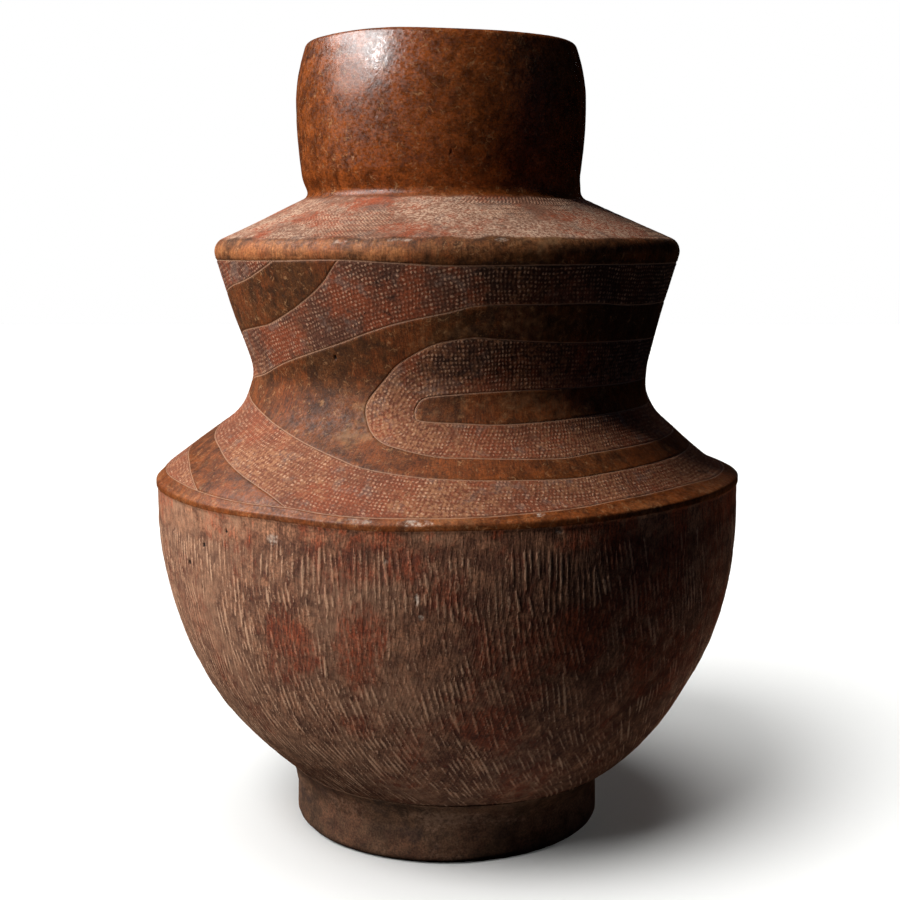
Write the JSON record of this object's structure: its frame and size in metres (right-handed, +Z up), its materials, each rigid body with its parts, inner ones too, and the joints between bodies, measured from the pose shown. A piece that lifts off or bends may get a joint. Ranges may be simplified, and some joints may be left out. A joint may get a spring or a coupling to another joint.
{
  "type": "terracotta storage jar",
  "caption": "Hand-built terracotta jar with a ring foot, round bowl, sharp shoulder, waist, flaring upper wall, sloping collar and barrel neck.",
  "frame": {"origin": "middle of the plane that the foot ring stands on, below the middle of the widest part of the bowl", "axes": "+Z up through the mouth; -Y towards the side that the picture shows; +X to the right in the picture"},
  "size_m": [0.3748, 0.3748, 0.5015],
  "materials": {
    "burnished_clay": "slipped and burnished earthenware, orange brown with dark fire clouds, a soft sheen",
    "rouletted_clay": "earthenware rolled with rows of fine impressions between incised lines, chalky deposit on red slip, matt",
    "combed_clay": "earthenware scored all over with short upright strokes, red slip worn through grey-beige, matt",
    "plain_clay": "smoothed earthenware, brown with dark smudges, matt"
  },
  "bodies": {
    "root": {"foot_ring": "plain_clay", "bowl_base": "combed_clay", "bowl_course_1": "combed_clay", "bowl_course_2": "combed_clay", "bowl_course_3": "combed_clay", "belt_course": "burnished_clay", "shoulder_course_1": "rouletted_clay", "shoulder_course_2": "rouletted_clay", "waist_course": "rouletted_clay", "flare_course_1": "rouletted_clay", "flare_course_2": "rouletted_clay", "crest_course": "burnished_clay", "collar_course_1": "rouletted_clay", "collar_course_2": "rouletted_clay", "neck_course_1": "burnished_clay", "neck_course_2": "burnished_clay", "neck_course_3": "burnished_clay", "lip_course": "burnished_clay"}
  },
  "joints": []
}
